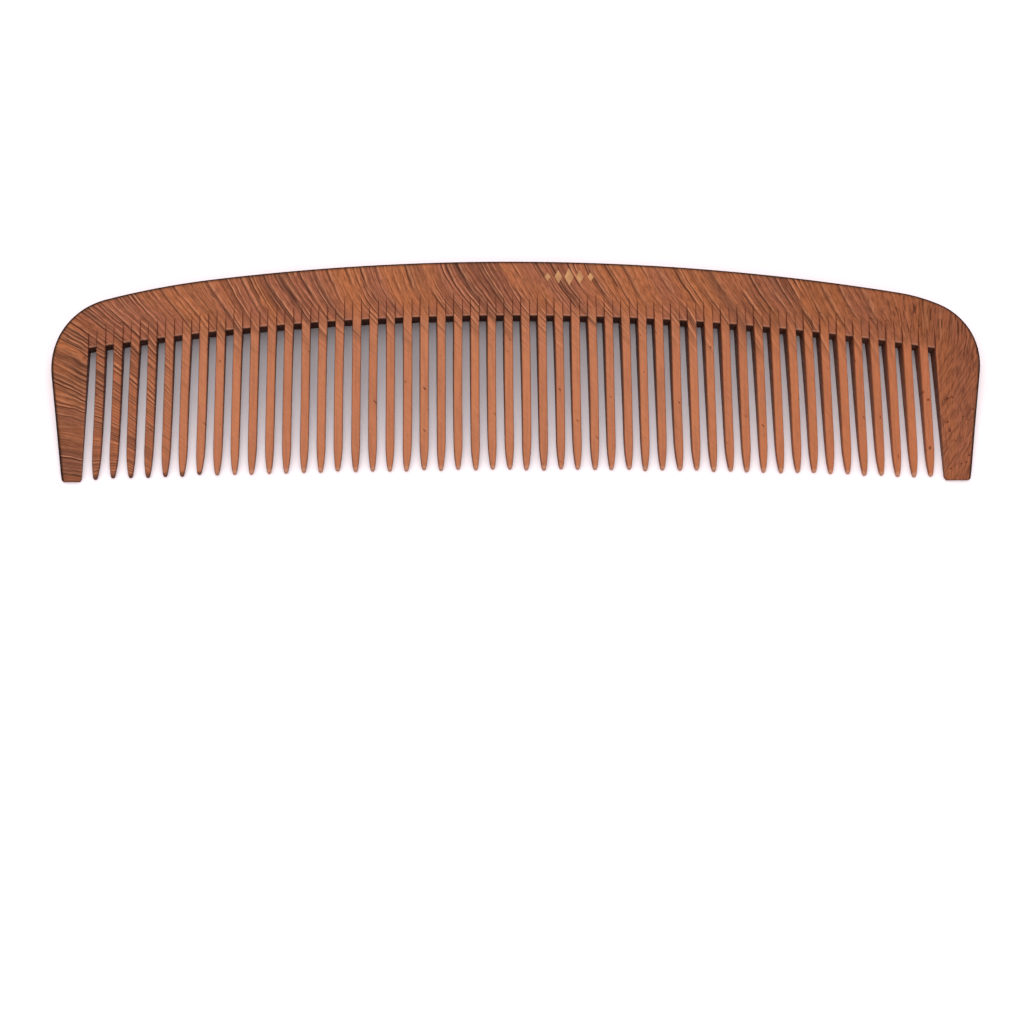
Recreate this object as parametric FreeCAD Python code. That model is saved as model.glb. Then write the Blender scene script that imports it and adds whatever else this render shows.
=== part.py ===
import FreeCAD, Part
import math
import os

# A fine-toothed wooden beard comb: a thin arched back with an end guard at each side, fifty
# slim teeth whose roots stand in open slots of the back, and a small stamped ornament.
# The comb lies on its flat rear face. X runs along the comb, the teeth point to -Y and Z is
# the thickness. The origin is the middle of the footprint, on the resting face. Millimetres.

# Overall size
LENGTH = 180.0
HEIGHT = 43.0
BACK_THICKNESS = 5.0
TIP_THICKNESS = 1.0

# Side section: the front face is flat over the back and then slopes down to the tips
TAPER_START_Y = 8.0
TAPER_BLEND = 4.0

# Plan outline. From its middle, the top edge turns slowly along a long arc, then along a shoulder
# arc and a tighter corner arc, into a side that slopes in to the foot. The two ends are shaped
# by hand and differ. Turns and drafts are in degrees.
LEFT_END = {
    "top_turn": 7.5,
    "shoulder_turn": 7.9,
    "shoulder_radius": 150.0,
    "corner_radius": 13.9,
    "draft": 5.9,
}
RIGHT_END = {
    "top_turn": 9.3,
    "shoulder_turn": 14.2,
    "shoulder_radius": 33.2,
    "corner_radius": 13.0,
    "draft": 6.7,
}
FOOT_RADIUS = 0.8
EDGE_ROUND = 0.4

# Row of teeth
TOOTH_COUNT = 50
TOOTH_PITCH = 3.252
TOOTH_WIDTH = 1.70
ROW_OFFSET = -0.93
ROOT_RADIUS = 523.6
ROOT_MID_Y = 10.6
TIP_RADIUS = 1880.0
TIP_MID_Y = -19.3
FAN_RATE = 0.00045
GUARD_LEAN = 2.5

# Tooth shape
ROOT_RISE = 3.9
POINT_LENGTH = 6.0
POINT_HALF_WIDTH = 0.42

# Run-out groove above each gap, on both faces
GROOVE_DEPTH = 0.6

# Stamped ornament: a graduated row of lozenges
MARK_X = 9.4
MARK_Y = 18.3
MARK_STEP = 2.1
MARK_DEPTH = 0.12
MARK_SIZES = [(1.2, 1.8), (1.5, 2.7), (1.8, 3.6), (1.5, 2.7), (1.2, 1.8)]

HALF_LENGTH = LENGTH / 2
HALF_HEIGHT = HEIGHT / 2
GAP_WIDTH = TOOTH_PITCH - TOOTH_WIDTH
CLEAR = 1.0
SLOT_OVERLAP = 0.4
Z_AXIS = FreeCAD.Vector(0, 0, 1)
ORIGIN = FreeCAD.Vector(0, 0, 0)


def arc_drop(radius, x):
    """How far an arc of this radius has fallen at distance x from its highest point."""
    return radius - math.sqrt(radius ** 2 - x ** 2)


def root_y(x):
    return ROOT_MID_Y - arc_drop(ROOT_RADIUS, x)


def tip_y(x):
    return TIP_MID_Y - arc_drop(TIP_RADIUS, x)


def tooth_x(number):
    """Middle of a tooth at its root. Teeth are numbered from 1 at the left."""
    return ROW_OFFSET + (number - (TOOTH_COUNT + 1) / 2) * TOOTH_PITCH


def gap_x(number):
    """Middle of a gap at its root. Gap 0 is beside the left guard."""
    return tooth_x(number) + TOOTH_PITCH / 2


def fan_angle(x):
    """The teeth spread very slightly, so each one leans outwards in proportion to x."""
    return math.degrees(math.atan(FAN_RATE * (x - ROW_OFFSET)))


def point(x, y, z=0.0):
    return FreeCAD.Vector(x, y, z)


def line(start, end):
    return Part.LineSegment(start, end).toShape()


def arc(start, middle, end):
    return Part.Arc(start, middle, end).toShape()


def prism(edges, direction):
    return Part.Face(Part.Wire(edges)).extrude(direction)


def polygon_prism(corners, direction):
    edges = [line(a, b) for a, b in zip(corners, corners[1:] + corners[:1])]
    return prism(edges, direction)


def place_on_root(shape, x):
    """Move a shape drawn around the origin to the root line at x, leaning with the fan."""
    placed = shape.copy()
    placed.rotate(ORIGIN, Z_AXIS, fan_angle(x))
    placed.translate(point(x, root_y(x)))
    return placed


def section_prism():
    """The comb's side section, as a prism longer than the comb."""
    slope = (BACK_THICKNESS - TIP_THICKNESS) / (TAPER_START_Y + HALF_HEIGHT)
    blend_drop = TAPER_BLEND * slope
    left = -HALF_LENGTH - CLEAR
    top_back = point(left, HALF_HEIGHT + CLEAR, 0)
    top_front = point(left, HALF_HEIGHT + CLEAR, BACK_THICKNESS)
    blend_high = point(left, TAPER_START_Y + TAPER_BLEND, BACK_THICKNESS)
    blend_mid = point(left, TAPER_START_Y, BACK_THICKNESS - blend_drop / 4)
    blend_low = point(left, TAPER_START_Y - TAPER_BLEND, BACK_THICKNESS - blend_drop)
    end_drop = slope * CLEAR
    tip_front = point(left, -HALF_HEIGHT - CLEAR, TIP_THICKNESS - end_drop)
    tip_back = point(left, -HALF_HEIGHT - CLEAR, 0)
    edges = [
        line(top_back, top_front),
        line(top_front, blend_high),
        arc(blend_high, blend_mid, blend_low),
        line(blend_low, tip_front),
        line(tip_front, tip_back),
        line(tip_back, top_back),
    ]
    return prism(edges, point(LENGTH + 2 * CLEAR, 0, 0))


def end_arcs(end):
    """The arcs of one end of the outline, drawn towards +X: centre, radius, first and last angle.

    An angle is that of the outward direction, from +Y towards +X. The top arc's radius is the one
    that brings the side's furthest point to half the comb's length.
    """
    top_stop = math.radians(end["top_turn"])
    shoulder_stop = top_stop + math.radians(end["shoulder_turn"])
    corner_stop = math.pi / 2 + math.radians(end["draft"])
    shoulder_reach = end["shoulder_radius"] * (math.sin(shoulder_stop) - math.sin(top_stop))
    corner_reach = end["corner_radius"] * (1 - math.sin(shoulder_stop))
    top_radius = (HALF_LENGTH - shoulder_reach - corner_reach) / math.sin(top_stop)
    radii = [top_radius, end["shoulder_radius"], end["corner_radius"]]
    arcs = []
    place = point(0, HALF_HEIGHT)
    start = 0.0
    for radius, stop in zip(radii, [top_stop, shoulder_stop, corner_stop]):
        centre = place - outward(start) * radius
        arcs.append((centre, radius, start, stop))
        place = centre + outward(stop) * radius
        start = stop
    return arcs


def outward(angle):
    return point(math.sin(angle), math.cos(angle))


def end_edges(end, side):
    """Edges of one end of the outline from the middle of the top edge to the foot, and the foot."""
    edges = []
    for centre, radius, start, stop in end_arcs(end):
        places = [centre + outward(angle) * radius for angle in (start, (start + stop) / 2, stop)]
        first, middle, last = [point(side * place.x, place.y) for place in places]
        edges.append(arc(first, middle, last))
    slope = math.tan(math.radians(end["draft"]))
    foot = point(last.x - side * (last.y + HALF_HEIGHT) * slope, -HALF_HEIGHT)
    edges.append(line(last, foot))
    return edges, foot


def outline_prism():
    """The comb's plan outline with its tooth field still filled."""
    right_edges, right_foot = end_edges(RIGHT_END, 1)
    left_edges, left_foot = end_edges(LEFT_END, -1)
    edges = right_edges + [line(right_foot, left_foot)] + left_edges[::-1]
    return prism(edges, point(0, 0, BACK_THICKNESS))


def tooth_field():
    """The space between the guards, below the arched root line."""
    lean = math.tan(math.radians(GUARD_LEAN))
    low_y = -HALF_HEIGHT - CLEAR
    left_x = gap_x(0) - GAP_WIDTH / 2
    right_x = gap_x(TOOTH_COUNT) + GAP_WIDTH / 2
    left_high = point(left_x, root_y(left_x), -CLEAR)
    right_high = point(right_x, root_y(right_x), -CLEAR)
    left_low = point(left_x - (left_high.y - low_y) * lean, low_y, -CLEAR)
    right_low = point(right_x + (right_high.y - low_y) * lean, low_y, -CLEAR)
    edges = [
        arc(left_high, point(0, ROOT_MID_Y, -CLEAR), right_high),
        line(right_high, right_low),
        line(right_low, left_low),
        line(left_low, left_high),
    ]
    return prism(edges, point(0, 0, BACK_THICKNESS + 2 * CLEAR))


def root_slot(number):
    """The open slot of the back that holds one tooth's root."""
    half = TOOTH_WIDTH / 2
    corners = [point(-half, -CLEAR), point(half, -CLEAR), point(half, ROOT_RISE), point(-half, ROOT_RISE)]
    slot = polygon_prism(corners, point(0, 0, BACK_THICKNESS))
    return place_on_root(slot, tooth_x(number))


def runout_groove(number, front):
    """The cutter's shallow run-out above one gap: deepest at the gap, nothing at its far end.

    It reaches a little way into the slots beside it, and stops at the guard at each end.
    """
    surface = BACK_THICKNESS if front else 0.0
    away = 1 if front else -1
    left_reach = 0.0 if number == 0 else SLOT_OVERLAP
    right_reach = 0.0 if number == TOOTH_COUNT else SLOT_OVERLAP
    left = -GAP_WIDTH / 2 - left_reach
    foot_depth = GROOVE_DEPTH * (ROOT_RISE + CLEAR) / ROOT_RISE
    corners = [
        point(left, ROOT_RISE, surface),
        point(left, ROOT_RISE, surface + away * CLEAR),
        point(left, -CLEAR, surface + away * CLEAR),
        point(left, -CLEAR, surface - away * foot_depth),
    ]
    groove = polygon_prism(corners, point(GAP_WIDTH + left_reach + right_reach, 0, 0))
    return place_on_root(groove, gap_x(number))


def lozenges():
    """The ornament: separate lozenges let into the front face and flush with it."""
    solids = []
    floor_z = BACK_THICKNESS - MARK_DEPTH
    for index, (width, height) in enumerate(MARK_SIZES):
        x = MARK_X + (index - (len(MARK_SIZES) - 1) / 2) * MARK_STEP
        corners = [
            point(x - width / 2, MARK_Y, floor_z),
            point(x, MARK_Y - height / 2, floor_z),
            point(x + width / 2, MARK_Y, floor_z),
            point(x, MARK_Y + height / 2, floor_z),
        ]
        solids.append(polygon_prism(corners, point(0, 0, MARK_DEPTH)))
    return solids


def round_long_edges(body, front):
    """Ease the long edges that a hand meets on one face: the top arc, corners and sides."""
    edges = []
    for edge in body.Edges:
        box = edge.BoundBox
        upright = box.ZLength > box.XLength + box.YLength
        at_foot = box.YMax < -HALF_HEIGHT + CLEAR
        across = box.YLength < CLEAR and box.YMax < HALF_HEIGHT - CLEAR
        on_front = box.ZMax > TIP_THICKNESS / 2
        if on_front == front and not upright and not at_foot and not across:
            edges.append(edge)
    return body.makeFillet(EDGE_ROUND, edges)


def round_feet(body):
    """Round the corners of the two guard feet, seen in plan."""
    feet = []
    for edge in body.Edges:
        box = edge.BoundBox
        upright = box.ZLength > TIP_THICKNESS / 2 and box.XLength + box.YLength < 0.01
        if upright and box.YMin < -HALF_HEIGHT + 0.01:
            feet.append(edge)
    return body.makeFillet(FOOT_RADIUS, feet)


def make_back(section):
    """The arched back and its two end guards, in one piece of wood."""
    body = outline_prism().common(section)
    body = round_long_edges(body, True)
    body = round_long_edges(body, False)
    body = body.cut(tooth_field())
    body = round_feet(body)
    grooves = []
    for number in range(TOOTH_COUNT + 1):
        grooves.append(runout_groove(number, True))
        grooves.append(runout_groove(number, False))
    slots = [root_slot(number) for number in range(1, TOOTH_COUNT + 1)]
    for cutters in (grooves, slots, lozenges()):
        body = body.cut(cutters)
    return body


def make_tooth(number, section):
    """One tooth: a straight strip that narrows along a long arc to a blunt rounded end."""
    x = tooth_x(number)
    length = root_y(x) - tip_y(x)
    half = TOOTH_WIDTH / 2
    end_half = POINT_HALF_WIDTH
    narrowing = half - end_half
    point_y = -length + POINT_LENGTH
    end_y = -length + end_half
    mid_y = (point_y + end_y) / 2
    mid_half = half - narrowing / 4
    edges = [
        line(point(-half, ROOT_RISE), point(half, ROOT_RISE)),
        line(point(half, ROOT_RISE), point(half, point_y)),
        arc(point(half, point_y), point(mid_half, mid_y), point(end_half, end_y)),
        arc(point(end_half, end_y), point(0, -length), point(-end_half, end_y)),
        arc(point(-end_half, end_y), point(-mid_half, mid_y), point(-half, point_y)),
        line(point(-half, point_y), point(-half, ROOT_RISE)),
    ]
    strip = prism(edges, point(0, 0, BACK_THICKNESS))
    return place_on_root(strip, x).common(section)


def save(name, shape):
    if not shape.isValid():
        raise ValueError(name + " is not a valid shape")
    shape.exportStep("parts/" + name + ".step")


def main():
    os.makedirs("parts", exist_ok=True)
    section = section_prism()
    save("back", make_back(section))
    for number in range(1, TOOTH_COUNT + 1):
        save("tooth_%02d" % number, make_tooth(number, section))
    save("stamped_ornament", Part.makeCompound(lozenges()))


main()
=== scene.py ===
import math
import random

import bpy
from mathutils import Matrix, Vector


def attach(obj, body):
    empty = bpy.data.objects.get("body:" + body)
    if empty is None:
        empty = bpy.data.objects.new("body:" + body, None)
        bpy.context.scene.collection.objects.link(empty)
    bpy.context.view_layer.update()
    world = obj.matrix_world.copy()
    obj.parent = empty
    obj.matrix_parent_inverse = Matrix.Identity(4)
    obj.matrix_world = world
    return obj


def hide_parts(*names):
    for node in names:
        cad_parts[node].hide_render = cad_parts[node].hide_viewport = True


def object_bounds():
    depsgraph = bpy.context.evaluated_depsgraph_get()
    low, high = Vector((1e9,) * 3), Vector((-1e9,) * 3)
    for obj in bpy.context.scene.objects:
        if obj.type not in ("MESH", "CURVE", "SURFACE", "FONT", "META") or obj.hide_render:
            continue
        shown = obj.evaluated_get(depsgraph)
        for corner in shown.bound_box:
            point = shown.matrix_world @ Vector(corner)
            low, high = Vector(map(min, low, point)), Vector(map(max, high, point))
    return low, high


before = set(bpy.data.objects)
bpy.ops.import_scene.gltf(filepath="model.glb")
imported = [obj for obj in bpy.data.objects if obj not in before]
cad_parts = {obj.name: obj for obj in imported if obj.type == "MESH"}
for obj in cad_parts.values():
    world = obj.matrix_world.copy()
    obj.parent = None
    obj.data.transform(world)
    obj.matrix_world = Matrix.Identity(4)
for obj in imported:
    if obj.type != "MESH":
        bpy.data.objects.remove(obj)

# The looks of a wooden beard comb that lies on its flat rear face. The frame is the CAD's: X along
# the comb, teeth to -Y, Z up out of the front face. Meshes are drawn in millimetres and scaled
# to metres when they are made. The wood's material works in millimetres too.

MM = 0.001
CAD_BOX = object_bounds()
BODY = "root"

# ---- Driving sizes, in millimetres ---------------------------------------------------------

HALF_LENGTH = (CAD_BOX[1].x - CAD_BOX[0].x) / 2 / MM
HALF_HEIGHT = (CAD_BOX[1].y - CAD_BOX[0].y) / 2 / MM
BACK_THICKNESS = (CAD_BOX[1].z - CAD_BOX[0].z) / MM
TIP_THICKNESS = 1.0
TAPER_START_Y = 8.0
TAPER_BLEND = 4.0
SKIN = 0.02  # the ornament stands this far out of the wood

# Each end of the outline: a long top arc, a shoulder arc, a corner arc and a sloping side
LEFT_END = {
    "top_turn": 7.5,
    "shoulder_turn": 7.9,
    "shoulder_radius": 150.0,
    "corner_radius": 13.9,
    "draft": 5.9,
}
RIGHT_END = {
    "top_turn": 9.3,
    "shoulder_turn": 14.2,
    "shoulder_radius": 33.2,
    "corner_radius": 13.0,
    "draft": 6.7,
}
EDGE_ROUND = 0.5
FULL_ROUND_THICKNESS = 2.4  # where the wood is thinner, its edges are rounded less
FOOT_ROUND = 0.35
FOOT_ROUND_SHARE = 0.3  # the foot's rounding takes at most this share of the thickness
MOST_ROUND_SHARE = 0.45  # and no rounding of a guard or a tooth takes more than this share
FOOT_CORNER = 0.5
FOOT_CORNER_REACH = 2.5
# Width of the band of painted shade along the outline
RIM_WIDTH = 0.60

TOOTH_COUNT = 50
TOOTH_PITCH = 3.252
TOOTH_WIDTH = 1.70
ROW_OFFSET = -0.93
ROOT_RADIUS = 523.6
ROOT_MID_Y = 10.6
TIP_RADIUS = 1880.0
TIP_MID_Y = -19.3
FAN_RATE = 0.00045
GUARD_LEAN = math.radians(2.5)

ROOT_RISE = 3.9
GROOVE_DEPTH = 0.6
GROOVE_CURVE = 1.25
LIP_ROUND = 0.10
LIP_DROP = 0.9 * LIP_ROUND

POINT_LENGTH = 6.5
POINT_HALF_WIDTH = 0.36
POINT_CURVE = 2.6
BLUNT_LENGTH = 0.55
BLUNT_WIDTH_SHARE = 0.55  # what is left of the width and of the thickness at a tooth's very end
BLUNT_THICKNESS_SHARE = 0.6
ROOT_EDGE = 0.02
TOOTH_EDGE = 0.32
WIDTH_ROUND_SHARE = 0.8  # the rounding takes at most this share of a tooth's half width
EDGE_FULL = 2.0  # a tooth's edges are fully rounded this far below its root
FREE_START = 3.0  # and its own slimness and sway have set in this far below it

# How much the teeth differ, from hand finishing: least and most
LENGTH_CHANGE = (-0.18, 0.12)
SWAY = (-0.10, 0.10)
SLIMNESS = (0.97, 1.02)
SKEW = (-0.12, 0.12)
SEED_STEP = 7919

GAP_WIDTH = TOOTH_PITCH - TOOTH_WIDTH
TAPER_SLOPE = (BACK_THICKNESS - TIP_THICKNESS) / (TAPER_START_Y + HALF_HEIGHT)


# ---- Shape of the comb, in millimetres ------------------------------------------------------


def arc_drop(radius, x):
    return radius - math.sqrt(radius ** 2 - x ** 2)


def root_y(x):
    return ROOT_MID_Y - arc_drop(ROOT_RADIUS, x)


def tip_y(x):
    return TIP_MID_Y - arc_drop(TIP_RADIUS, x)


def tooth_x(number):
    return ROW_OFFSET + (number - (TOOTH_COUNT + 1) / 2) * TOOTH_PITCH


def gap_x(number):
    return tooth_x(number) + TOOTH_PITCH / 2


def fan_x(x, y):
    """Where a line that meets the root line at x has got to at height y."""
    return x + FAN_RATE * (x - ROW_OFFSET) * (root_y(x) - y)


def front_z(y):
    """Height of the front face: flat over the back, an easy bend, then straight to the tips."""
    below = TAPER_START_Y - y
    if below < -TAPER_BLEND:
        drop = 0.0
    elif below < TAPER_BLEND:
        drop = TAPER_SLOPE * (below + TAPER_BLEND) ** 2 / (4 * TAPER_BLEND)
    else:
        drop = TAPER_SLOPE * below
    return BACK_THICKNESS - SKIN - drop


class End:
    """One end of the plan outline, drawn towards +X. Angles run from +Y towards +X."""

    def __init__(self, sizes):
        top_stop = math.radians(sizes["top_turn"])
        shoulder_stop = top_stop + math.radians(sizes["shoulder_turn"])
        self.draft = math.radians(sizes["draft"])
        shoulder_reach = sizes["shoulder_radius"] * (math.sin(shoulder_stop) - math.sin(top_stop))
        corner_reach = sizes["corner_radius"] * (1 - math.sin(shoulder_stop))
        top_radius = (HALF_LENGTH - shoulder_reach - corner_reach) / math.sin(top_stop)
        self.arcs = []
        place = Vector((0.0, HALF_HEIGHT))
        start = 0.0
        radii = [top_radius, sizes["shoulder_radius"], sizes["corner_radius"]]
        for radius, stop in zip(radii, [top_stop, shoulder_stop, math.pi / 2 + self.draft]):
            centre = place - outward(start) * radius
            self.arcs.append((centre, radius, start, stop))
            place = centre + outward(stop) * radius
            start = stop
        self.side_top = place
        self.foot_x = place.x - (place.y + HALF_HEIGHT) * math.tan(self.draft)

    def top_y(self, across):
        """Height of the top edge at this distance from the comb's middle."""
        for centre, radius, start, stop in self.arcs:
            if across <= centre.x + radius * math.sin(min(stop, math.pi / 2)):
                return centre.y + math.sqrt(radius ** 2 - (across - centre.x) ** 2)
        return self.side_top.y

    def from_corner(self, angle):
        """The outline in this direction from the corner arc's centre."""
        centre, radius = self.arcs[-1][:2]
        place = centre + outward(angle) * radius
        if angle < math.pi / 2:
            place.y = self.top_y(place.x)
        return place

    def inside(self, across, y):
        """How far a point of the plan lies inside the outline."""
        side = self.side_top - Vector((across, y))
        distance = side.dot(Vector((math.cos(self.draft), -math.sin(self.draft))))
        for centre, radius, start, stop in self.arcs:
            angle = math.atan2(across - centre.x, y - centre.y)
            if start <= angle <= stop:
                distance = min(distance, radius - math.hypot(across - centre.x, y - centre.y))
        return max(distance, 0.0)


def outward(angle):
    return Vector((math.sin(angle), math.cos(angle)))


ENDS = {-1: End(LEFT_END), 1: End(RIGHT_END)}


def end_at(x):
    return ENDS[-1 if x < 0 else 1]


def top_y(x):
    return end_at(x).top_y(abs(x))


def edge_distance(x, y):
    return end_at(x).inside(abs(x), y)


def clamped(value):
    """The value, kept between 0 and 1."""
    return min(max(value, 0.0), 1.0)


def round_drop(distance, radius):
    """Drop of a quarter-round edge at this distance from the edge."""
    inside = min(max(distance, 0.0), radius)
    return radius - math.sqrt(radius ** 2 - (radius - inside) ** 2)


def outline_drop(distance, thick):
    """Drop of the rounded edge along the outline at this distance from it."""
    return round_drop(distance, EDGE_ROUND * min(1.0, thick / FULL_ROUND_THICKNESS))


def spaced(start, end, count):
    return [start + (end - start) * i / count for i in range(count + 1)]


def distinct(indices):
    """The indices in their order, each only once."""
    return list(dict.fromkeys(indices))


# ---- Mesh helpers ---------------------------------------------------------------------------

SHARP_ANGLE = math.radians(35.0)


def make_object(name, points, faces, material):
    """A mesh piece from points in millimetres, smooth except across sharp edges."""
    mesh = bpy.data.meshes.new(name)
    mesh.from_pydata([Vector(p) * MM for p in points], [], faces)
    mesh.validate()
    mesh.shade_smooth()
    mesh.set_sharp_from_angle(angle=SHARP_ANGLE)
    mesh.materials.append(material)
    obj = bpy.data.objects.new(name, mesh)
    bpy.context.scene.collection.objects.link(obj)
    return obj


class Slab:
    """A thick sheet: matching front and rear points, with walls along its open borders."""

    def __init__(self):
        self.points = []
        self.rims = []
        self.faces = []
        self.known = {}

    def pair(self, x, y, front, rear, sunk=False, rim=0.0):
        """Index of the front point; its rear point is the next index. The rim gets painted shade where it
        is 1.
        """
        key = (round(x, 5), round(y, 5), sunk)
        if key not in self.known:
            self.known[key] = len(self.points)
            self.points.append((x, y, front))
            self.points.append((x, y, rear))
            self.rims += [rim, rim]
        return self.known[key]

    def patch(self, grid):
        """Front and rear faces over rows of pairs. Rows run up, and each row runs right."""
        for low, high in zip(grid, grid[1:]):
            for i in range(len(low) - 1):
                ring = distinct([low[i], low[i + 1], high[i + 1], high[i]])
                self.faces.append(ring)
                self.faces.append([index + 1 for index in reversed(ring)])

    def wall(self, line):
        """A wall from the front to the rear, under a line of pairs with the wood on its left."""
        for a, b in zip(line, line[1:]):
            self.faces.append([b, a, a + 1, b + 1])

    def step(self, high, low):
        """The small upright steps, front and rear, between two lines that share their ends."""
        for (a, b), (c, d) in zip(zip(high, high[1:]), zip(low, low[1:])):
            for shift in (0, 1):
                ring = distinct([a + shift, b + shift, d + shift, c + shift])
                if len(ring) > 2:
                    self.faces.append(ring[::-1] if shift == 0 else ring)


# ---- The back with its two guards -----------------------------------------------------------

GROOVE_ROWS = [0.0, LIP_ROUND, 0.5, 1.0, 1.6, 2.3, 3.1, ROOT_RISE]
EDGE_STEPS = [EDGE_ROUND, 0.34, 0.19, 0.08, 0.02, 0.0]
EDGE_SPREAD = 1.6  # the first plain cell starts this many times further in than the edge's cells
FOOT_BAND = 1.2
GUARD_REACH = 5.0
FINGER_CELLS = 4
SLOT_CELLS = 3
GUARD_CELLS = 12
WALL_ROWS = 30
UPPER_CELLS = 8


def upper_rows(low, high):
    """Heights from low to high, closing up towards the rounded edge at high."""
    rows = spaced(low, high - EDGE_STEPS[0] * EDGE_SPREAD, UPPER_CELLS)
    return rows + [high - step for step in EDGE_STEPS]


def rim_share(distance):
    """1 from the outline to half of RIM_WIDTH inside it, then falling to 0 at RIM_WIDTH."""
    return clamped(2.0 * (1 - distance / RIM_WIDTH))


def plain_pair(slab, x, y):
    distance = edge_distance(x, y)
    drop = outline_drop(distance, front_z(y))
    return slab.pair(x, y, front_z(y) - drop, drop, rim=rim_share(distance))


def groove_pair(slab, x, y, rise):
    """A point on the run-out groove's floor, with an eased lip where the gap starts."""
    depth = GROOVE_DEPTH * (1 - rise / ROOT_RISE) ** GROOVE_CURVE
    lip = LIP_DROP if rise < LIP_ROUND / 2 else 0.0
    return slab.pair(x, y, front_z(y) - depth - lip, depth + lip, rise < ROOT_RISE)


def finger_columns(number):
    middle = gap_x(number)
    return spaced(middle - GAP_WIDTH / 2, middle + GAP_WIDTH / 2, FINGER_CELLS)


def slot_columns(number):
    middle = tooth_x(number)
    return spaced(middle - TOOTH_WIDTH / 2, middle + TOOTH_WIDTH / 2, SLOT_CELLS)


def build_fingers(slab):
    """The fingers between the tooth roots, with their grooves. Returns the row's two end lines."""
    ends = []
    for number in range(TOOTH_COUNT + 1):
        columns = finger_columns(number)
        grid = []
        for rise in GROOVE_ROWS:
            row = []
            for x in columns:
                y = root_y(x) + rise
                row.append(groove_pair(slab, fan_x(x, y), y, rise))
            grid.append(row)
        slab.patch(grid)
        slab.wall(grid[0])
        left = [row[0] for row in grid]
        right = [row[-1] for row in grid]
        if number == 0:
            ends.append(left)
        else:
            slab.wall(left[::-1])
        if number == TOOTH_COUNT:
            ends.append(right)
        else:
            slab.wall(right)
    return ends


def build_band(slab):
    """The band from the ends of the grooves and slots up to the top edge."""
    strips = [finger_columns(0)]
    for number in range(1, TOOTH_COUNT + 1):
        strips.append(slot_columns(number))
        strips.append(finger_columns(number))
    for index, columns in enumerate(strips):
        grid = []
        for level in range(UPPER_CELLS + 1 + len(EDGE_STEPS)):
            row = []
            for x in columns:
                slot_top = root_y(x) + ROOT_RISE
                y = upper_rows(slot_top, top_y(fan_x(x, slot_top)))[level]
                row.append(plain_pair(slab, fan_x(x, slot_top), y))
            grid.append(row)
        slab.patch(grid)
        slab.wall(grid[-1][::-1])
        if index % 2 == 1:
            slab.wall(grid[0])


def guard_inner_line(side):
    """Plan points up a guard's inner wall and on to the top edge, foot first."""
    inner_x = gap_x(0) - GAP_WIDTH / 2 if side < 0 else gap_x(TOOTH_COUNT) + GAP_WIDTH / 2
    base_y = root_y(inner_x)
    lean = math.tan(GUARD_LEAN)
    foot_y = -HALF_HEIGHT
    points = []
    for y in foot_rows(foot_y, base_y):
        points.append((inner_x + side * (base_y - y) * lean, y))
    for rise in GROOVE_ROWS:
        points.append((fan_x(inner_x, base_y + rise), base_y + rise))
    slot_x = fan_x(inner_x, base_y + ROOT_RISE)
    for y in upper_rows(base_y + ROOT_RISE, top_y(slot_x))[1:]:
        points.append((slot_x, y))
    return points


def foot_rows(foot_y, base_y):
    """Heights up a guard from its foot, closer together at the rounded foot. The last is left out."""
    rounded = [foot_y + step for step in reversed(EDGE_STEPS)]
    return rounded + spaced(foot_y + FOOT_BAND, base_y, WALL_ROWS)[:-1]


def guard_outer_line(side, inner):
    """Plan points up a guard's outer side and round to the top of its inner line, foot first."""
    end = ENDS[side]
    foot = Vector((end.foot_x, -HALF_HEIGHT))
    straight = (end.side_top - foot).length
    centre, corner_radius = end.arcs[-1][:2]
    corner_stop = math.pi / 2 + end.draft
    corner_start = math.asin((abs(inner[-1][0]) - centre.x) / corner_radius)
    curved = corner_radius * (corner_stop - corner_start)
    shares = [0.0]
    for a, b in zip(inner, inner[1:]):
        shares.append(shares[-1] + math.dist(a, b))
    points = []
    for share in shares:
        along = share / shares[-1] * (straight + curved)
        if along <= straight:
            place = foot.lerp(end.side_top, along / straight)
        else:
            place = end.from_corner(corner_stop - (along - straight) / corner_radius)
        points.append((side * place.x, place.y))
    return points[:-1] + [inner[-1]]


def guard_shares():
    """Shares of the way across a guard from its outer edge, closer together at the edge."""
    near = [step / GUARD_REACH for step in reversed(EDGE_STEPS)]
    far = spaced(near[-1] * EDGE_SPREAD, 1.0, GUARD_CELLS)
    return near + far


def build_guard(slab, side, groove_end):
    """One end guard. Its rows run from the outline to the inner wall and meet at the top."""
    inner = guard_inner_line(side)
    outer = guard_outer_line(side, inner)
    grid = []
    for (outer_x, outer_y), (inner_x, inner_y) in zip(outer, inner):
        row = []
        for share in guard_shares():
            x = outer_x + (inner_x - outer_x) * share
            y = outer_y + (inner_y - outer_y) * share
            row.append(guard_pair(slab, x, y))
        grid.append(row if side < 0 else row[::-1])
    slab.patch(grid)
    outer_line = [row[0] if side < 0 else row[-1] for row in grid]
    inner_line = [row[-1] if side < 0 else row[0] for row in grid]
    slab.wall(grid[0])
    slab.wall(outer_line[::-1] if side < 0 else outer_line)
    foot_count = len(foot_rows(0.0, 1.0))
    wall_line = inner_line[:foot_count]
    slab.wall(wall_line if side < 0 else wall_line[::-1])
    step_line = inner_line[foot_count : foot_count + len(GROOVE_ROWS)]
    if side < 0:
        slab.step(step_line, groove_end)
    else:
        slab.step(groove_end, step_line)
    low, high, groove = wall_line[-1], step_line[0], groove_end[0]
    last_wall = [high, low, low + 1, high + 1, groove + 1, groove]
    slab.faces.append(last_wall if side < 0 else last_wall[::-1])


def guard_pair(slab, x, y):
    """A guard's point: rounded along the outer edge and, more tightly, round the foot."""
    thick = front_z(y)
    distance = edge_distance(x, y)
    foot = round_drop(y + HALF_HEIGHT, min(FOOT_ROUND, thick * FOOT_ROUND_SHARE))
    drop = min(max(outline_drop(distance, thick), foot), thick * MOST_ROUND_SHARE)
    return slab.pair(x, y + foot_lift(x, y), thick - drop, drop, rim=rim_share(distance))


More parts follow.
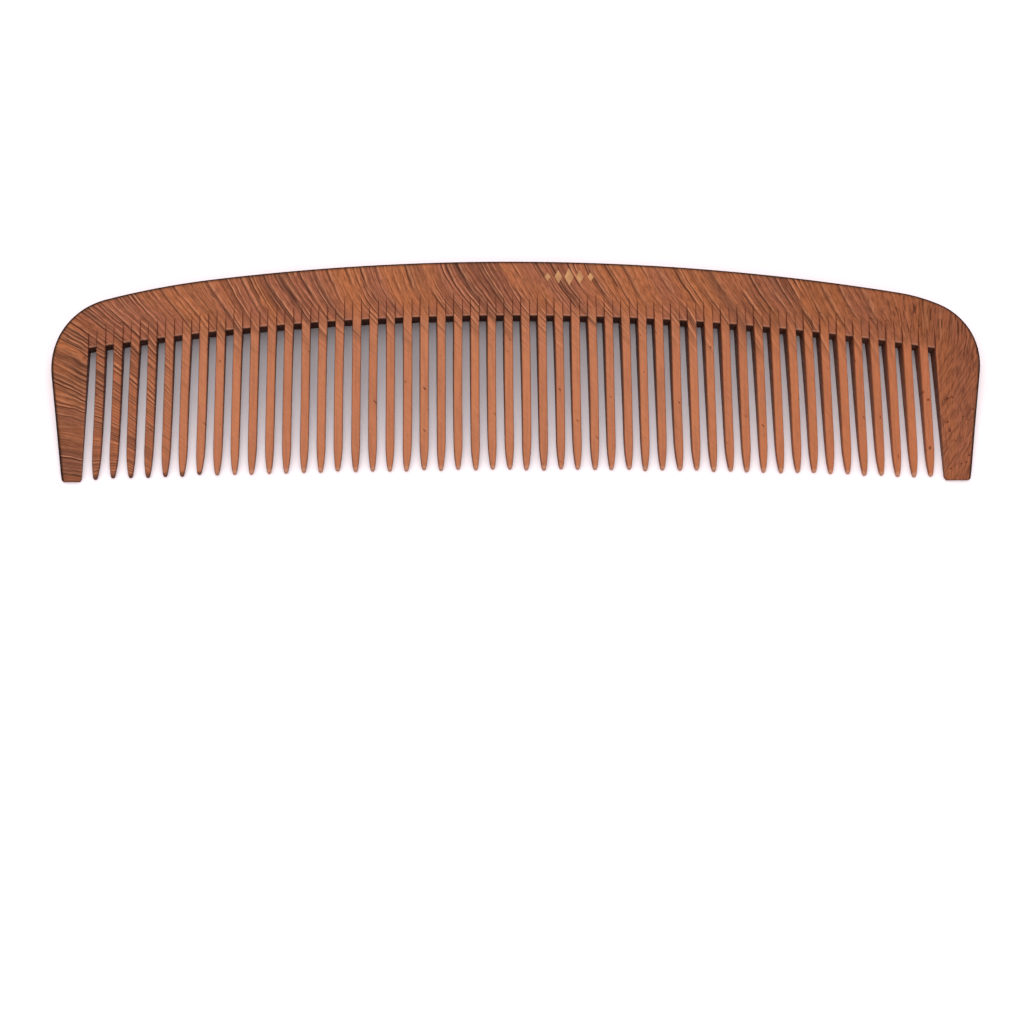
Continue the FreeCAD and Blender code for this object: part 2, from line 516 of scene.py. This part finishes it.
def foot_lift(x, y):
    """How far the plan of a guard's foot is rounded up at its two corners."""
    side = -1 if x < 0 else 1
    from_outer = ENDS[side].foot_x - abs(x)
    from_inner = abs(x) - abs(guard_inner_line(side)[0][0])
    corner = round_drop(max(min(from_outer, from_inner), 0.0), FOOT_CORNER)
    return corner * max(0.0, 1 - (y + HALF_HEIGHT) / FOOT_CORNER_REACH) ** 2


def make_back(material):
    slab = Slab()
    left_end, right_end = build_fingers(slab)
    build_band(slab)
    build_guard(slab, -1, left_end)
    build_guard(slab, 1, right_end)
    obj = make_object("comb_back", slab.points, slab.faces, material)
    rim = obj.data.attributes.new("rim", "FLOAT", "POINT")
    rim.data.foreach_set("value", slab.rims)
    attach(obj, BODY)
    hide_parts("back")


# ---- Teeth ----------------------------------------------------------------------------------

CORNER_POINTS = 4


def tooth_half_width(from_tip):
    """Half the tooth's width at a distance from its tip. Its point narrows along a long curve."""
    half = TOOTH_WIDTH / 2
    if from_tip >= POINT_LENGTH:
        return half
    share = 1 - from_tip / POINT_LENGTH
    return half - (half - POINT_HALF_WIDTH) * share ** POINT_CURVE


def tooth_section(half, low, high, radius):
    """A rectangle with rounded corners in X and Z, counter-clockwise."""
    radius = min(radius, half * WIDTH_ROUND_SHARE, (high - low) * MOST_ROUND_SHARE)
    points = []
    corners = [(half, high, 0), (-half, high, 90), (-half, low, 180), (half, low, 270)]
    for x, z, start in corners:
        centre_x = x - math.copysign(radius, x)
        centre_z = z - radius if z == high else z + radius
        for step in range(CORNER_POINTS + 1):
            angle = math.radians(start + 90 * step / CORNER_POINTS)
            points.append((centre_x + radius * math.cos(angle), centre_z + radius * math.sin(angle)))
    return points


def tooth_stations(length):
    """Distances from the root, downwards, at which a tooth's section is drawn."""
    above = [-ROOT_RISE, -ROOT_RISE + 0.02, -2.6, -1.3, 0.0, 0.8, 1.8, FREE_START]
    shank = spaced(FREE_START, length - POINT_LENGTH, 8)[1:]
    point = [length - POINT_LENGTH * (1 - k / 12) for k in range(1, 11)]
    end = [length - left for left in (0.8, 0.55, 0.36, 0.2, 0.08, 0.0)]
    return above + shank + point + end


def make_tooth(number, material):
    """One tooth, with the small differences of hand finishing."""
    chance = random.Random(number * SEED_STEP)
    x = tooth_x(number)
    base = root_y(x)
    length = base - tip_y(x) + chance.uniform(*LENGTH_CHANGE)
    sway = chance.uniform(*SWAY)
    slim = chance.uniform(*SLIMNESS)
    skew = chance.uniform(*SKEW)
    points = []
    stations = tooth_stations(length)
    for station in stations:
        from_tip = length - station
        y = base - station
        half = tooth_half_width(from_tip)
        below = clamped(station / FREE_START)
        half *= 1 + (slim - 1) * below
        low = 0.0
        high = front_z(y)
        eased = clamped((station + ROOT_RISE) / (ROOT_RISE + EDGE_FULL))
        radius = ROOT_EDGE + (TOOTH_EDGE - ROOT_EDGE) * eased
        if from_tip < BLUNT_LENGTH:
            close = math.sqrt(max(0.0, 1 - (1 - from_tip / BLUNT_LENGTH) ** 2))
            half *= BLUNT_WIDTH_SHARE + (1 - BLUNT_WIDTH_SHARE) * close
            middle = high / 2
            spread = BLUNT_THICKNESS_SHARE + (1 - BLUNT_THICKNESS_SHARE) * close
            low = middle - middle * spread
            high = middle + middle * spread
        drift = sway * below * math.sin(math.pi * min(station / length, 1.0))
        drift += skew * (1 - min(from_tip / POINT_LENGTH, 1.0)) ** 2
        centre = fan_x(x, y) + drift
        section = tooth_section(half, low, high, radius)
        points += [(centre + px, y, pz) for px, pz in section]
    ring = 4 * (CORNER_POINTS + 1)
    faces = []
    for level in range(len(stations) - 1):
        for i in range(ring):
            a = level * ring + i
            b = level * ring + (i + 1) % ring
            faces.append([a, b, b + ring, a + ring])
    last = (len(stations) - 1) * ring
    faces.append(list(reversed(range(ring))))
    faces.append([last + i for i in range(ring)])
    name = "tooth_%02d" % number
    obj = make_object("comb_" + name, points, faces, material)
    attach(obj, BODY)
    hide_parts(name)


# ---- Materials ------------------------------------------------------------------------------


class Nodes:
    """One material's node tree. The shading helpers add nodes and return an output socket."""

    def __init__(self, name):
        self.material = bpy.data.materials.new(name)
        self.material.use_nodes = True
        self.tree = self.material.node_tree
        self.tree.nodes.clear()

    def add(self, kind, **settings):
        node = self.tree.nodes.new(kind)
        for key, value in settings.items():
            setattr(node, key, value)
        return node

    def feed(self, socket, value):
        if isinstance(value, bpy.types.NodeSocket):
            self.tree.links.new(value, socket)
        else:
            socket.default_value = value

    def calc(self, operation, *values):
        node = self.add("ShaderNodeMath", operation=operation)
        for index, value in enumerate(values):
            self.feed(node.inputs[index], value)
        return node.outputs[0]

    def plus(self, a, b):
        return self.calc("ADD", a, b)

    def minus(self, a, b):
        return self.calc("SUBTRACT", a, b)

    def times(self, a, b):
        return self.calc("MULTIPLY", a, b)

    def ramp(self, value, low, high):
        """0 at low, 1 at high, with an easy curve between them. Low may be above high."""
        node = self.add("ShaderNodeMapRange", interpolation_type="SMOOTHSTEP", clamp=True)
        self.feed(node.inputs["Value"], value)
        if low < high:
            limits = (low, high, 0.0, 1.0)
        else:
            limits = (high, low, 1.0, 0.0)
        for socket, number in zip(("From Min", "From Max", "To Min", "To Max"), limits):
            node.inputs[socket].default_value = number
        return node.outputs["Result"]

    def vector(self, x, y, z):
        node = self.add("ShaderNodeCombineXYZ")
        for index, value in enumerate((x, y, z)):
            self.feed(node.inputs[index], value)
        return node.outputs[0]

    def noise(self, vector, detail=2.0, roughness=0.5, scale=1.0):
        node = self.add("ShaderNodeTexNoise", noise_dimensions="3D")
        self.feed(node.inputs["Vector"], vector)
        node.inputs["Scale"].default_value = scale
        node.inputs["Detail"].default_value = detail
        node.inputs["Roughness"].default_value = roughness
        return node.outputs[0]

    def line(self, value, middle, width):
        """1 where value passes through middle, falling to 0 at width either side."""
        away = self.calc("ABSOLUTE", self.minus(value, middle))
        return self.ramp(away, width, 0.0)

    def blend(self, factor, a, b):
        """Colour a where factor is 0, colour b where it is 1."""
        node = self.add("ShaderNodeMix", data_type="RGBA", clamp_factor=True)
        self.feed(node.inputs[0], factor)
        self.feed(node.inputs[6], a)
        self.feed(node.inputs[7], b)
        return node.outputs[2]

    def surface(self, color, roughness, bump_height, bump_distance, specular):
        bump = self.add("ShaderNodeBump")
        bump.inputs["Strength"].default_value = 1.0
        bump.inputs["Distance"].default_value = bump_distance
        self.feed(bump.inputs["Height"], bump_height)
        shader = self.add("ShaderNodeBsdfPrincipled")
        self.feed(shader.inputs["Base Color"], color)
        self.feed(shader.inputs["Roughness"], roughness)
        shader.inputs["Specular IOR Level"].default_value = specular
        self.tree.links.new(bump.outputs[0], shader.inputs["Normal"])
        output = self.add("ShaderNodeOutputMaterial")
        self.tree.links.new(shader.outputs[0], output.inputs["Surface"])
        return self.material


def linear(red, green, blue):
    """A display colour, 0 to 255, as linear light."""
    return tuple(((c / 255 + 0.055) / 1.055) ** 2.4 for c in (red, green, blue)) + (1.0,)


WOOD_MID = linear(150, 87, 57)
WOOD_ORANGE = linear(160, 93, 55)
# Rose wood tone; also the colour of the painted shade in the run-out grooves
WOOD_ROSE_AND_GROOVE_SHADE = linear(143, 84, 62)
WOOD_LIGHT = linear(200, 138, 102)
WOOD_DEEP = linear(110, 56, 23)
TOOTH_MID = linear(168, 104, 72)
TOOTH_RIGHT = linear(164, 96, 62)
TOOTH_LEFT = linear(154, 88, 57)
# Dark grain lines; also the colour of the painted shade on the slot end walls
VEIN_AND_SLOT_SHADE = linear(52, 23, 14)
STREAK = linear(88, 55, 42)
# Real pits and flecks, and the painted shade in the creases beside the roots
PIT_STAIN_AND_CREASE_SHADE = linear(70, 25, 13)
# Colour of the painted shade along the outline rim
RIM_SHADE = linear(22, 12, 9)
# Colour of the painted shade on sides and walls
SIDE_SHADE = linear(84, 42, 28)
# Colour of the painted highlight on the groove lips
LIP_HIGHLIGHT = linear(178, 130, 110)
CUT_END = linear(172, 126, 104)
CHAR = linear(40, 24, 20)


def grain_places(n, x, y, z):
    """How far a point lies across the growth rings and along the grain.

    The rings cross the back steeply at the top edge and lie over towards the teeth. They turn
    level in the left guard and upright in the right one.
    """
    # Over the back a ring is counted along x. In the left guard it follows a line nearly level
    tilt = n.plus(0.08, n.times(n.ramp(y, -15.0, 3.0), 0.24))
    turn_x = n.minus(n.times(n.plus(x, 79.0), tilt), n.plus(n.times(y, 0.10), 79.0))
    across = n.calc("SMOOTH_MAX", x, turn_x, 7.0)

    # How far a ring has swept sideways at this height: it curls at the top edge and closes at the foot
    raised = n.calc("POWER", n.calc("MAXIMUM", n.plus(y, 5.0), 0.0), 4.0)
    curl = n.minus(0.0000105, n.times(n.ramp(x, -40.0, 5.0), 0.0000045))
    sweep = n.minus(n.times(y, 0.95), n.times(raised, curl))
    lowered = n.calc("POWER", n.calc("MAXIMUM", n.minus(-5.0, y), 0.0), 2.0)
    closing = n.minus(0.02, n.times(n.ramp(x, -76.0, -84.0), 0.014))
    sweep = n.minus(sweep, n.times(lowered, closing))

    # The sweep counts less and less towards the right, where the rings stand up
    lean = n.minus(0.95, n.times(across, 0.002))
    lean = n.minus(lean, n.times(n.ramp(x, 15.0, 62.0), 0.22))
    lean = n.minus(lean, n.times(n.ramp(x, 58.0, 88.0), 0.70))
    ring = n.plus(n.plus(across, n.times(sweep, lean)), n.times(x, 0.10))
    ring = n.plus(ring, n.times(z, 0.35))

    # Slow drifts and small waves
    drift = n.noise(n.vector(n.times(x, 0.045), n.times(y, 0.06), n.times(z, 0.03)), 1.0)
    ring = n.plus(ring, n.times(n.minus(drift, 0.5), 4.0))
    wobble = n.noise(n.vector(n.times(x, 0.30), n.times(y, 0.30), n.times(z, 0.2)), 1.5)
    waviness = n.plus(0.45, n.times(n.ramp(x, -78.0, -86.0), 0.20))
    ring = n.plus(ring, n.times(n.minus(wobble, 0.5), waviness))
    along = n.minus(n.times(x, 0.57), n.times(y, 0.82))
    return ring, along


# Zones of the wood, in millimetres. Each fades in from its first place to its second.
ROW_FROM_LEFT = (-84.4, -83.4)
ROW_FROM_RIGHT = (82.0, 81.0)
STRIPED_TEETH = (-58.0, -70.0)
LEFT_TEETH = (-60.0, -76.0)
RIGHT_TEETH = (10.0, 75.0)
RIGHT_BACK = (15.0, 84.0)
RIGHT_SIDES = (15.0, 75.0)
RIGHT_CALM = (58.0, 76.0)
RIGHT_GUARD = (70.0, 80.0)
RIGHT_GUARD_BELOW = (11.0, 2.0)
RIGHT_GUARD_INSIDE = (87.5, 83.0)
RIGHT_SHOULDER = (62.0, 80.0)
RIGHT_SHOULDER_ABOVE = (-6.0, 4.0)
PITTED = (76.0, 79.0)
PITTED_BELOW = (-2.0, -6.0)
LEFT_CLUSTERS = (-50.0, -72.0)
LEFT_LINES = (-56.0, -69.0)
LEFT_GUARD = (-76.0, -84.0)
LEFT_OUTSIDE = (-81.5, -86.0)
LEFT_OUTSIDE_BELOW = (6.0, -14.0)
FOOT_BELOW = (-2.0, -11.0)
CHARRED_TIPS = (-56.0, -62.0)


class Wood(Nodes):
    """The comb's wood, as places in millimetres and the zones of the comb that they lie in.

    It is one block for the back and the teeth, so that its grain runs on from piece to piece.
    """

    def __init__(self):
        super().__init__("comb_wood")
        place = self.add("ShaderNodeTexCoord").outputs["Object"]
        split = self.add("ShaderNodeSeparateXYZ")
        self.tree.links.new(place, split.inputs[0])
        self.x, self.y, self.z = [self.times(split.outputs[i], 1 / MM) for i in range(3)]
        self.ring, self.along = grain_places(self, self.x, self.y, self.z)

        # Height above the root line, and how near the edge line of a tooth root a point lies
        root_line = self.arc_line(ROOT_MID_Y, ROOT_RADIUS)
        self.above_root = self.minus(self.y, root_line)
        spread = self.minus(1.0, self.times(self.above_root, FAN_RATE))
        row_x = self.calc("DIVIDE", self.minus(self.x, ROW_OFFSET), spread)
        self.row_place = self.calc("DIVIDE", row_x, TOOTH_PITCH)
        pitch_place = self.calc("FRACT", self.plus(self.row_place, float(TOOTH_COUNT)))
        self.from_tooth = self.times(self.calc("ABSOLUTE", self.minus(pitch_place, 0.5)), TOOTH_PITCH)

        # Zones: 1 inside, 0 outside
        self.in_row = self.times(self.ramp(self.x, *ROW_FROM_LEFT), self.ramp(self.x, *ROW_FROM_RIGHT))
        self.on_teeth = self.times(self.ramp(self.above_root, 3.0, -2.5), self.in_row)
        self.off_teeth = self.minus(1.0, self.on_teeth)
        in_right_guard = self.ramp(self.x, *RIGHT_GUARD)
        self.plain_guard = self.times(in_right_guard, self.ramp(self.y, *RIGHT_GUARD_BELOW))

    def arc_line(self, middle_y, radius):
        """Height of an arched line at x, as a parabola that fits the arc closely."""
        return self.minus(middle_y, self.times(self.times(self.x, self.x), 0.5 / radius))

    def streaks(self, across_rate, along_rate, detail, low, high):
        """Streaks along the grain: 0 where their noise is under low, 1 where it is over high."""
        across = self.times(self.ring, across_rate)
        where = self.vector(across, self.times(self.along, along_rate), self.times(self.z, across_rate / 6))
        return self.ramp(self.noise(where, detail, 0.6), low, high)

    def lines(self, spacing, width, seed):
        """Thin growth lines, unevenly spaced and broken, and the pale edge that runs beside each."""
        slow_place = self.vector(self.times(self.ring, 0.35 / spacing), self.times(self.along, 0.01), seed)
        bend = self.noise(slow_place, 1.0)
        phase = self.plus(self.times(self.ring, 1 / spacing), self.times(bend, 1.6))
        number = self.times(self.calc("FLOOR", phase), 0.71)
        break_place = self.vector(number, self.times(self.along, 0.10), seed)
        strength = self.ramp(self.noise(break_place, 1.0), 0.40, 0.60)
        share = self.calc("FRACT", phase)
        thin = width / spacing
        dark = self.times(self.line(share, 0.5, thin), strength)
        pale = self.times(self.line(share, 0.5 + 1.3 * thin, thin), strength)
        return dark, pale


def base_tones(w):
    """Orange and rose patches, a lighter wood on the teeth, and a deeper one to the right."""
    broad_place = w.vector(w.times(w.ring, 0.13), w.times(w.along, 0.03), w.times(w.z, 0.04))
    color = w.blend(w.ramp(w.noise(broad_place, 2.0), 0.40, 0.62), WOOD_ORANGE, WOOD_ROSE_AND_GROOVE_SHADE)
    color = w.blend(0.35, color, WOOD_MID)
    tooth_color = w.blend(w.ramp(w.x, *RIGHT_TEETH), TOOTH_MID, TOOTH_RIGHT)
    tooth_color = w.blend(w.ramp(w.x, *LEFT_TEETH), tooth_color, TOOTH_LEFT)
    color = w.blend(w.times(w.on_teeth, 0.9), color, tooth_color)
    tooth_number = w.calc("FLOOR", w.row_place)
    shade_noise = w.noise(w.vector(tooth_number, 0.0, 0.37), 0.0, 0.5, 3.3)
    shade = w.times(w.ramp(shade_noise, 0.35, 0.65), w.on_teeth)
    color = w.blend(w.times(shade, 0.18), color, WOOD_ROSE_AND_GROOVE_SHADE)
    deep_share = w.plus(0.26, w.times(w.ramp(w.y, -12.0, 4.0), 0.16))
    to_right = w.times(w.times(w.ramp(w.x, *RIGHT_BACK), w.off_teeth), deep_share)
    color = w.blend(to_right, color, WOOD_DEEP)
    left_outside = w.times(w.ramp(w.x, *LEFT_OUTSIDE), w.ramp(w.y, *LEFT_OUTSIDE_BELOW))
    return w.blend(w.times(left_outside, 0.26), color, STREAK)


def add_grain(w, color):
    """Dark lines in clusters, softer streaks behind them, and short dashes.

    Returns the colour, how dark the grain is and the fine fibre.
    """
    left_half = w.times(w.ramp(w.x, *LEFT_CLUSTERS), 0.45)
    clustered = w.calc("MAXIMUM", w.streaks(0.12, 0.03, 1.0, 0.42, 0.58), left_half)
    grained_teeth = w.times(w.ramp(w.above_root, 2.0, -9.0), w.in_row)
    striped = w.ramp(w.minus(w.x, w.times(w.above_root, 0.25)), *STRIPED_TEETH)

    # Where the grain is calm: the plain right guard, the right of the back and most of the teeth
    calm = w.minus(1.0, w.times(w.plain_guard, 0.80))
    calm = w.times(calm, w.minus(1.0, w.times(w.ramp(w.x, *RIGHT_CALM), 0.55)))
    tooth_calm = w.times(grained_teeth, w.minus(0.93, w.times(striped, 0.88)))
    calm = w.times(calm, w.minus(1.0, tooth_calm))

    # Soft streaks
    left_bands = w.streaks(0.26, 0.04, 0.0, 0.42, 0.52)
    wide = w.times(w.streaks(0.34, 0.012, 1.0, 0.60, 0.74), 0.50)
    guard_bands = w.times(left_bands, w.times(w.ramp(w.x, *LEFT_GUARD), 0.42))
    color = w.blend(w.times(w.calc("MAXIMUM", wide, guard_bands), calm), color, STREAK)

    # Growth lines: close ones, bold ones and, at the left, finer ones in bands
    close_dark, close_pale = w.lines(1.10, 0.27, 2.0)
    bold_dark, bold_pale = w.lines(3.30, 0.42, 9.0)
    left_dark, left_pale = w.lines(0.78, 0.22, 5.0)
    close_share = w.plus(0.34, w.times(clustered, 0.62))
    bold_share = w.plus(0.70, w.times(clustered, 0.25))
    banded = w.plus(0.15, w.times(left_bands, 0.85))
    at_foot = w.ramp(w.y, *FOOT_BELOW)
    more_lines = w.calc("MAXIMUM", w.times(grained_teeth, 0.5), w.times(at_foot, 0.45))
    banded = w.calc("MINIMUM", w.plus(banded, more_lines), 1.0)
    left_share = w.times(w.ramp(w.x, *LEFT_LINES), banded)
    pale = w.calc("MAXIMUM", w.times(close_pale, close_share), w.times(bold_pale, bold_share))
    pale = w.calc("MAXIMUM", pale, w.times(left_pale, left_share))
    color = w.blend(w.times(w.times(pale, 0.45), calm), color, WOOD_LIGHT)
    dark = w.calc("MAXIMUM", w.times(close_dark, close_share), w.times(bold_dark, bold_share))
    dark = w.calc("MAXIMUM", dark, w.times(left_dark, left_share))

    # Uneven streaks, and dashes that are thickest on the right shoulder
    fine = w.times(w.streaks(2.3, 0.030, 1.0, 0.52, 0.60), w.plus(0.20, w.times(clustered, 0.26)))
    bold = w.times(w.streaks(1.05, 0.018, 0.5, 0.58, 0.66), w.plus(0.22, w.times(clustered, 0.30)))
    dark = w.times(w.calc("MAXIMUM", dark, w.calc("MAXIMUM", fine, bold)), calm)
    on_shoulder = w.times(w.ramp(w.x, *RIGHT_SHOULDER), w.ramp(w.y, *RIGHT_SHOULDER_ABOVE))
    dash_share = w.plus(0.30, w.times(on_shoulder, 0.50))
    dashes = w.times(w.streaks(3.4, 0.34, 1.0, 0.58, 0.66), w.times(dash_share, w.off_teeth))
    inner_guard = w.times(w.plain_guard, w.ramp(w.x, *RIGHT_GUARD_INSIDE))
    dark = w.calc("MAXIMUM", dark, w.times(dashes, w.minus(1.0, w.times(inner_guard, 0.8))))

    fibre = w.streaks(3.6, 0.60, 2.0, 0.42, 0.66)
    color = w.blend(w.times(fibre, w.plus(0.12, w.times(w.off_teeth, 0.26))), color, VEIN_AND_SLOT_SHADE)
    color = w.blend(dark, color, VEIN_AND_SLOT_SHADE)
    upright = w.noise(w.vector(w.times(w.x, 2.2), w.times(w.y, 0.09), w.times(w.z, 0.5)), 1.0)
    color = w.blend(w.times(w.times(w.ramp(upright, 0.45, 0.65), w.on_teeth), 0.16), color, STREAK)
    return color, dark, fibre


def add_swirl(w, color):
    """A faint swirl, leaning the other way, in the plain right guard."""
    over_swirl = w.minus(w.times(w.x, 2.3), w.times(w.y, 1.4))
    along_swirl = w.plus(w.times(w.x, 0.13), w.times(w.y, 0.20))
    swirl = w.ramp(w.noise(w.vector(over_swirl, along_swirl, 5.0), 2.0, 0.6), 0.48, 0.62)
    swirl = w.times(w.times(swirl, w.plain_guard), w.off_teeth)
    return w.blend(w.times(swirl, 0.42), color, VEIN_AND_SLOT_SHADE)


def add_pits(w, color):
    """Pits low in the right guard and a rare fleck on a tooth. Returns the colour and the marks."""
    pit_noise = w.noise(w.vector(w.times(w.x, 0.80), w.times(w.y, 0.80), 3.0), 1.0)
    pitted = w.times(w.ramp(w.x, *PITTED), w.ramp(w.y, *PITTED_BELOW))
    pits = w.times(w.ramp(pit_noise, 0.66, 0.72), pitted)
    fleck_noise = w.noise(w.vector(w.times(w.ring, 1.5), w.times(w.along, 0.6), 11.0), 0.0)
    flecks = w.times(w.ramp(fleck_noise, 0.80, 0.84), w.on_teeth)
    marks = w.calc("MAXIMUM", pits, flecks)
    return w.blend(w.times(marks, 0.75), color, PIT_STAIN_AND_CREASE_SHADE), marks


def add_root_shade_and_highlight(w, color):
    """Painted shade in the creases beside each root, painted shade in the groove between them and a painted
    highlight on its lip.
    """
    # Painted shade: thin dark lines in the creases where each tooth meets its groove, fading out up the
    # groove
    edge_wave = w.noise(w.vector(w.times(w.x, 0.9), w.times(w.y, 0.35), 0.0), 1.0)
    edge_place = w.plus(w.from_tooth, w.times(w.minus(edge_wave, 0.5), 0.18))
    beside = w.line(edge_place, TOOTH_WIDTH / 2, 0.15)
    rise_noise = w.noise(w.vector(w.times(w.x, 0.8), 0.0, 7.0), 0.0)
    rise_end = w.plus(ROOT_RISE + 0.2, w.times(w.minus(rise_noise, 0.5), 5.0))
    fade = w.ramp(w.minus(rise_end, w.above_root), 0.0, 1.8)
    row_above = w.times(w.ramp(w.above_root, -0.2, 0.3), w.in_row)
    color = w.blend(w.times(w.times(beside, fade), row_above), color, PIT_STAIN_AND_CREASE_SHADE)
    # Painted shade: the groove floor between the creases is darkened towards rose
    between = w.times(w.ramp(w.from_tooth, TOOTH_WIDTH / 2, TOOTH_WIDTH / 2 + 0.12), row_above)
    groove = w.times(between, w.ramp(w.above_root, ROOT_RISE, 1.0))
    color = w.blend(w.times(groove, 0.40), color, WOOD_ROSE_AND_GROOVE_SHADE)
    # Painted highlight along the lip of each groove, where the gap starts
    lip = w.times(between, w.ramp(w.above_root, 0.42, 0.12))
    return w.blend(w.times(lip, 0.55), color, LIP_HIGHLIGHT)


def add_edge_shade(w, color):
    """Painted shade on the sides and rounded edges: darker than the faces and darkest along the outline,
    and darker still on the slot ends under the lips.

    Returns the colour and the rim.
    """
    normal = w.add("ShaderNodeNewGeometry").outputs["Normal"]
    facing = w.add("ShaderNodeSeparateXYZ")
    w.tree.links.new(normal, facing.inputs[0])
    level = w.calc("ABSOLUTE", facing.outputs[2])
    near_outline = w.add("ShaderNodeAttribute", attribute_name="rim").outputs["Fac"]
    side_share = w.minus(0.84, w.times(w.ramp(w.x, *RIGHT_SIDES), 0.34))
    side_share = w.minus(side_share, w.times(near_outline, 0.34))
    # Painted shade: walls and rounded edges, whose normals turn sideways, are darkened
    color = w.blend(w.times(w.ramp(level, 0.95, 0.40), side_share), color, SIDE_SHADE)
    # Painted shade on the slot end walls under the lips, which face the tips
    slot_end_shade = w.times(w.ramp(facing.outputs[1], -0.5, -0.9), w.ramp(w.above_root, -1.0, -0.4))
    color = w.blend(w.times(w.times(slot_end_shade, w.in_row), 0.45), color, VEIN_AND_SLOT_SHADE)
    # Painted shade: a dark band on the rounded edge along the outline
    rim = w.times(near_outline, w.ramp(level, 0.04, 0.30))
    return w.blend(w.times(rim, 0.94), color, RIM_SHADE), rim


def add_tooth_ends(w, color):
    """Cut tooth ends: pale, but dark and chipped-looking on the first few."""
    tip_line = w.arc_line(TIP_MID_Y, TIP_RADIUS)
    at_tip = w.times(w.ramp(w.minus(w.y, tip_line), 0.90, 0.40), w.in_row)
    end_color = w.blend(w.ramp(w.x, *CHARRED_TIPS), CUT_END, CHAR)
    return w.blend(w.times(at_tip, 0.55), color, end_color)


def wood_material():
    w = Wood()
    color, dark, fibre = add_grain(w, base_tones(w))
    color, marks = add_pits(w, add_swirl(w, color))
    color, rim = add_edge_shade(w, add_root_shade_and_highlight(w, color))
    color = add_tooth_ends(w, color)
    rough = w.plus(0.48, w.times(fibre, 0.12))
    rough = w.plus(w.plus(rough, w.times(dark, 0.15)), w.times(rim, 0.30))
    height = w.minus(w.times(fibre, 0.4), w.plus(dark, marks))
    return w.surface(color, rough, height, bump_distance=0.00006, specular=0.08)


FOIL_DULL = linear(150, 100, 58)
FOIL_BRIGHT = linear(168, 118, 70)


def foil_material():
    """Matt gold-tan stamping foil, rubbed thin in places so that the wood shows through."""
    n = Nodes("stamping_foil")
    place = n.add("ShaderNodeTexCoord").outputs["Object"]
    worn = n.noise(place, 3.0, 0.6, 2600.0)
    grain = n.noise(place, 2.0, 0.5, 700.0)
    color = n.blend(n.ramp(grain, 0.35, 0.65), FOIL_DULL, FOIL_BRIGHT)
    color = n.blend(n.times(n.ramp(worn, 0.56, 0.70), 0.7), color, WOOD_MID)
    rough = n.plus(0.42, n.times(worn, 0.2))
    return n.surface(color, rough, worn, bump_distance=0.00002, specular=0.4)


FLOOR_DARK = (0.87, 0.79, 0.82, 1.0)
FLOOR_PALE = (0.88, 0.80, 0.83, 1.0)


def floor_material():
    n = Nodes("studio_floor")
    place = n.add("ShaderNodeTexCoord").outputs["Object"]
    tone = n.noise(place, 1.0, 0.5, 3.0)
    color = n.blend(tone, FLOOR_DARK, FLOOR_PALE)
    return n.surface(color, 0.9, tone, bump_distance=0.0, specular=0.1)


# ---- Studio ---------------------------------------------------------------------------------

CAMERA_DISTANCE = 0.450
CAMERA_TILT = math.radians(16.5)
CAMERA_SIDE = -0.03315
CAMERA_PITCH = math.radians(13.02)
CAMERA_YAW = math.radians(-3.97)
CAMERA_ROLL = math.radians(-0.175)
CAMERA_LENS = 81.74
AIM_HEIGHT = 0.0023

FLOOR_REACH = 4.0
WORLD_LIGHT = 1.25
SOFTBOX_PLACE = (-0.22, 0.28, 1.05)
SOFTBOX_LENGTH = 1.4
SOFTBOX_WIDTH = 1.1
SOFTBOX_WATTS = 5.0


def make_floor():
    mesh = bpy.data.meshes.new("studio_floor")
    corners = [(x * FLOOR_REACH, y * FLOOR_REACH, 0) for x, y in ((-1, -1), (1, -1), (1, 1), (-1, 1))]
    mesh.from_pydata(corners, [], [(0, 1, 2, 3)])
    mesh.materials.append(floor_material())
    obj = bpy.data.objects.new("studio_floor", mesh)
    bpy.context.scene.collection.objects.link(obj)


def make_lights():
    world = bpy.data.worlds.new("studio")
    bpy.context.scene.world = world
    world.use_nodes = True
    world.node_tree.nodes["Background"].inputs[0].default_value = (1.0, 1.0, 1.0, 1.0)
    world.node_tree.nodes["Background"].inputs[1].default_value = WORLD_LIGHT
    lamp = bpy.data.lights.new("softbox", "AREA")
    lamp.shape = "RECTANGLE"
    lamp.size = SOFTBOX_LENGTH
    lamp.size_y = SOFTBOX_WIDTH
    lamp.energy = SOFTBOX_WATTS
    obj = bpy.data.objects.new("softbox", lamp)
    obj.location = SOFTBOX_PLACE
    obj.rotation_euler = (Vector((0, 0, 0)) - obj.location).to_track_quat("-Z", "Y").to_euler()
    bpy.context.scene.collection.objects.link(obj)


def make_camera():
    data = bpy.data.cameras.new("camera")
    data.lens = CAMERA_LENS
    obj = bpy.data.objects.new("camera", data)
    back = CAMERA_DISTANCE * math.sin(CAMERA_TILT)
    up = CAMERA_DISTANCE * math.cos(CAMERA_TILT) + AIM_HEIGHT
    turn = Matrix.Rotation(CAMERA_PITCH, 4, "X") @ Matrix.Rotation(CAMERA_YAW, 4, "Y")
    turn = turn @ Matrix.Rotation(CAMERA_ROLL, 4, "Z")
    obj.matrix_world = Matrix.Translation((CAMERA_SIDE, -back, up)) @ turn
    bpy.context.scene.collection.objects.link(obj)
    bpy.context.scene.camera = obj


def main():
    bpy.context.scene.view_settings.view_transform = "Standard"
    make_camera()
    make_lights()
    make_floor()
    wood = wood_material()
    make_back(wood)
    for number in range(1, TOOTH_COUNT + 1):
        make_tooth(number, wood)
    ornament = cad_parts["stamped_ornament"]
    ornament.data.materials.clear()
    ornament.data.materials.append(foil_material())


main()
